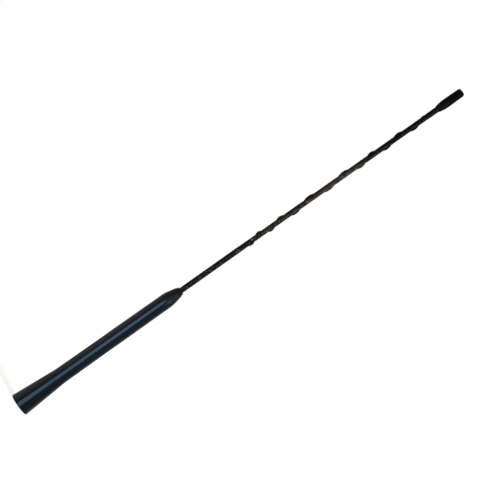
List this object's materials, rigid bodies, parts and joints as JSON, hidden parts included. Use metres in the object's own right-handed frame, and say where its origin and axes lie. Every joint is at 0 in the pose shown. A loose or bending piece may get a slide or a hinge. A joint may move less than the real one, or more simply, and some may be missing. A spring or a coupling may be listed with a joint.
{
  "type": "car mast aerial",
  "caption": "Screw-on car roof aerial: flared grip with a recessed threaded stud, thin whip with a spiral ridge under a black sleeve, and a round tip cap.",
  "frame": {"origin": "centre of the ferrule's seat face, where the stud leaves it, inside the flared skirt", "axes": "+Z along the mast to its tip; the stud points to -Z; +X is the side where the spiral's first crest lies"},
  "size_m": [0.0244, 0.0244, 0.55],
  "materials": {
    "grip_moulding": "satin",
    "plated_brass": "satin",
    "zinc_steel": "satin",
    "glass_fibre": "satin",
    "enamelled_copper": "gloss",
    "cord_plastic": "matte",
    "shrunk_sleeve": "satin",
    "cap_moulding": "matte"
  },
  "bodies": {
    "root": {"grip": "grip_moulding", "ferrule": "plated_brass", "threaded_stud": "zinc_steel", "core_rod": "glass_fibre", "radiator_wire": "enamelled_copper", "spiral_cord": "cord_plastic", "sleeve": "shrunk_sleeve", "tip_cap": "cap_moulding"}
  },
  "joints": []
}
